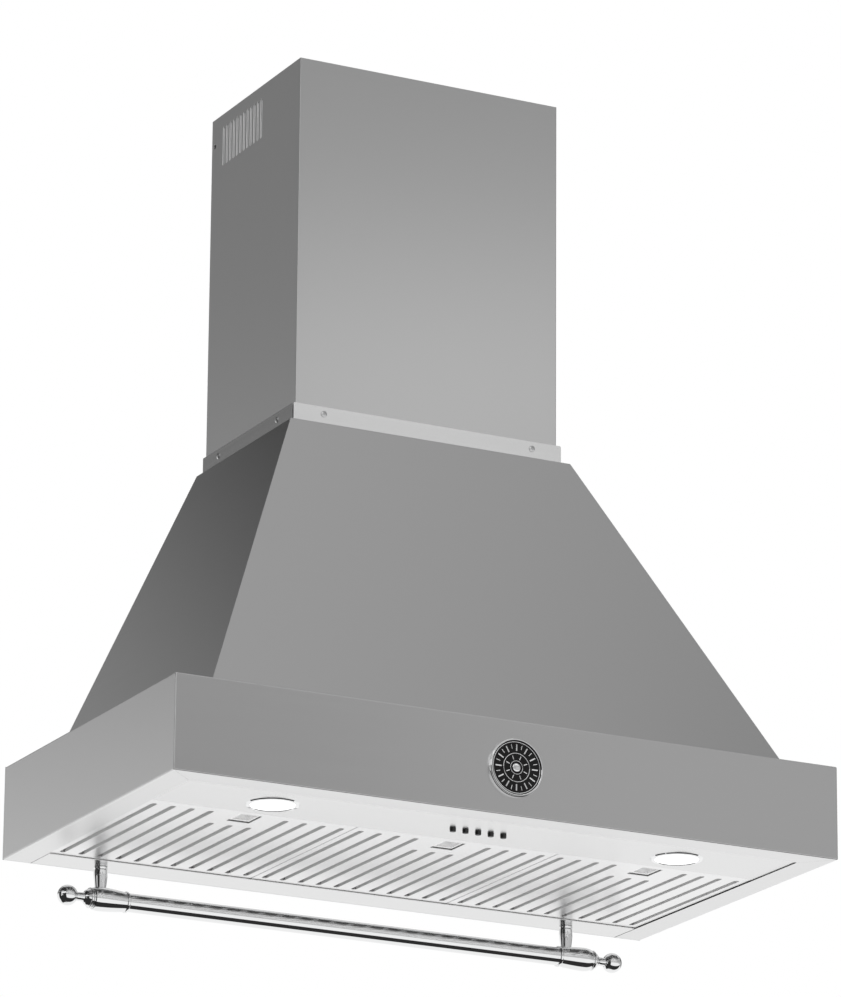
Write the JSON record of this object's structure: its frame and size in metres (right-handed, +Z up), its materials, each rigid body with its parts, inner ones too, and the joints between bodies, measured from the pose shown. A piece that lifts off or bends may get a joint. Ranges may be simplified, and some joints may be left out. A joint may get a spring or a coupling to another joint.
{
  "type": "range hood",
  "caption": "Wall-mounted pyramid range hood in brushed steel with chimney, lamps, push buttons, baffle filters and a round rail below its rear edge.",
  "frame": {"origin": "middle of the hood's underside where its back panel meets the wall", "axes": "+X to the right seen from the front, +Y towards the wall, +Z up along the chimney"},
  "size_m": [0.9, 0.505, 1.0829],
  "materials": {
    "stainless": "satin, brushed",
    "underside_steel": "satin, brushed",
    "galvanised": "dull zinc",
    "light_alloy": "satin",
    "chrome": "polished",
    "lens": "frosted",
    "dark_plastic": "fine grain",
    "white_plastic": "satin",
    "board": "satin",
    "motor_paint": "satin",
    "black_gloss": "gloss"
  },
  "bodies": {
    "hood": {"front_fascia": "stainless", "left_fascia": "stainless", "right_fascia": "stainless", "canopy_front": "stainless", "canopy_left": "stainless", "canopy_right": "stainless", "back_panel": "galvanised", "rear_crosspiece": "underside_steel", "light_panel": "underside_steel", "lamp_bezels": "chrome", "lamp_lenses": "lens", "lamp_housings": "light_alloy", "switch_housing": "dark_plastic", "control_board": "board", "led_driver": "white_plastic", "junction_box": "galvanised", "cable_gland": "dark_plastic", "motor_capacitor": "white_plastic", "blower_scroll": "galvanised", "blower_cheek_left": "galvanised", "blower_cheek_right": "galvanised", "blower_brackets": "galvanised", "motor": "motor_paint", "motor_spider": "galvanised", "duct_collar": "dark_plastic", "chimney_seat": "galvanised", "chimney_lower": "stainless", "collar_screws": "chrome", "badge_bezel": "chrome", "badge_disc": "black_gloss", "rail_posts": "chrome", "rail_nuts": "chrome", "rail_tube": "chrome", "rail_sleeves": "chrome", "rail_finials": "chrome"},
    "impeller": {"impeller": "light_alloy", "impeller_blades": "light_alloy", "impeller_rings": "light_alloy", "motor_shaft": "chrome"},
    "damper_front": {"damper_flap_front": "dark_plastic"},
    "damper_rear": {"damper_flap_rear": "dark_plastic"},
    "upper_chimney": {"chimney_upper": "stainless", "upper_bracket": "galvanised", "upper_screws": "chrome"},
    "filter_left": {"filter_pan_left": "underside_steel", "filter_baffles_left": "underside_steel"},
    "filter_centre": {"filter_pan_centre": "underside_steel", "filter_baffles_centre": "underside_steel"},
    "filter_right": {"filter_pan_right": "underside_steel", "filter_baffles_right": "underside_steel"},
    "latch_left": {"filter_latch_left": "underside_steel"},
    "latch_centre": {"filter_latch_centre": "underside_steel"},
    "latch_right": {"filter_latch_right": "underside_steel"},
    "button_1": {"button_1": "black_gloss"},
    "button_2": {"button_2": "black_gloss"},
    "button_3": {"button_3": "black_gloss"},
    "button_4": {"button_4": "black_gloss"},
    "button_5": {"button_5": "black_gloss"}
  },
  "joints": [
    {"name": "impeller_spin", "type": "hinge", "parent": "hood", "child": "impeller", "pos_m": [0, -0.19, 0.37], "axis": [1, 0, 0], "continuous": true},
    {"name": "damper_front_swing", "type": "hinge", "parent": "hood", "child": "damper_front", "pos_m": [0, -0.1295, 0.511], "axis": [-1, 0, 0], "range_deg": [0, 80]},
    {"name": "damper_rear_swing", "type": "hinge", "parent": "hood", "child": "damper_rear", "pos_m": [0, -0.1205, 0.511], "axis": [1, 0, 0], "range_deg": [0, 80]},
    {"name": "chimney_rise", "type": "slide", "parent": "hood", "child": "upper_chimney", "axis": [0, 0, 1], "range_m": [0, 0.38]},
    {"name": "filter_left_tilt", "type": "hinge", "parent": "hood", "child": "filter_left", "pos_m": [-0.27533, -0.056, 0.0013], "axis": [1, 0, 0], "range_deg": [0, 65]},
    {"name": "filter_centre_tilt", "type": "hinge", "parent": "hood", "child": "filter_centre", "pos_m": [0, -0.056, 0.0013], "axis": [1, 0, 0], "range_deg": [0, 65]},
    {"name": "filter_right_tilt", "type": "hinge", "parent": "hood", "child": "filter_right", "pos_m": [0.27533, -0.056, 0.0013], "axis": [1, 0, 0], "range_deg": [0, 65]},
    {"name": "latch_left_slide", "type": "slide", "parent": "filter_left", "child": "latch_left", "axis": [0, 1, 0], "range_m": [0, 0.005], "stiffness_N_per_m": 400},
    {"name": "latch_centre_slide", "type": "slide", "parent": "filter_centre", "child": "latch_centre", "axis": [0, 1, 0], "range_m": [0, 0.005], "stiffness_N_per_m": 400},
    {"name": "latch_right_slide", "type": "slide", "parent": "filter_right", "child": "latch_right", "axis": [0, 1, 0], "range_m": [0, 0.005], "stiffness_N_per_m": 400},
    {"name": "button_1_press", "type": "slide", "parent": "hood", "child": "button_1", "axis": [0, 0, 1], "range_m": [0, 0.0025], "stiffness_N_per_m": 300},
    {"name": "button_2_press", "type": "slide", "parent": "hood", "child": "button_2", "axis": [0, 0, 1], "range_m": [0, 0.0025], "stiffness_N_per_m": 300},
    {"name": "button_3_press", "type": "slide", "parent": "hood", "child": "button_3", "axis": [0, 0, 1], "range_m": [0, 0.0025], "stiffness_N_per_m": 300},
    {"name": "button_4_press", "type": "slide", "parent": "hood", "child": "button_4", "axis": [0, 0, 1], "range_m": [0, 0.0025], "stiffness_N_per_m": 300},
    {"name": "button_5_press", "type": "slide", "parent": "hood", "child": "button_5", "axis": [0, 0, 1], "range_m": [0, 0.0025], "stiffness_N_per_m": 300}
  ]
}
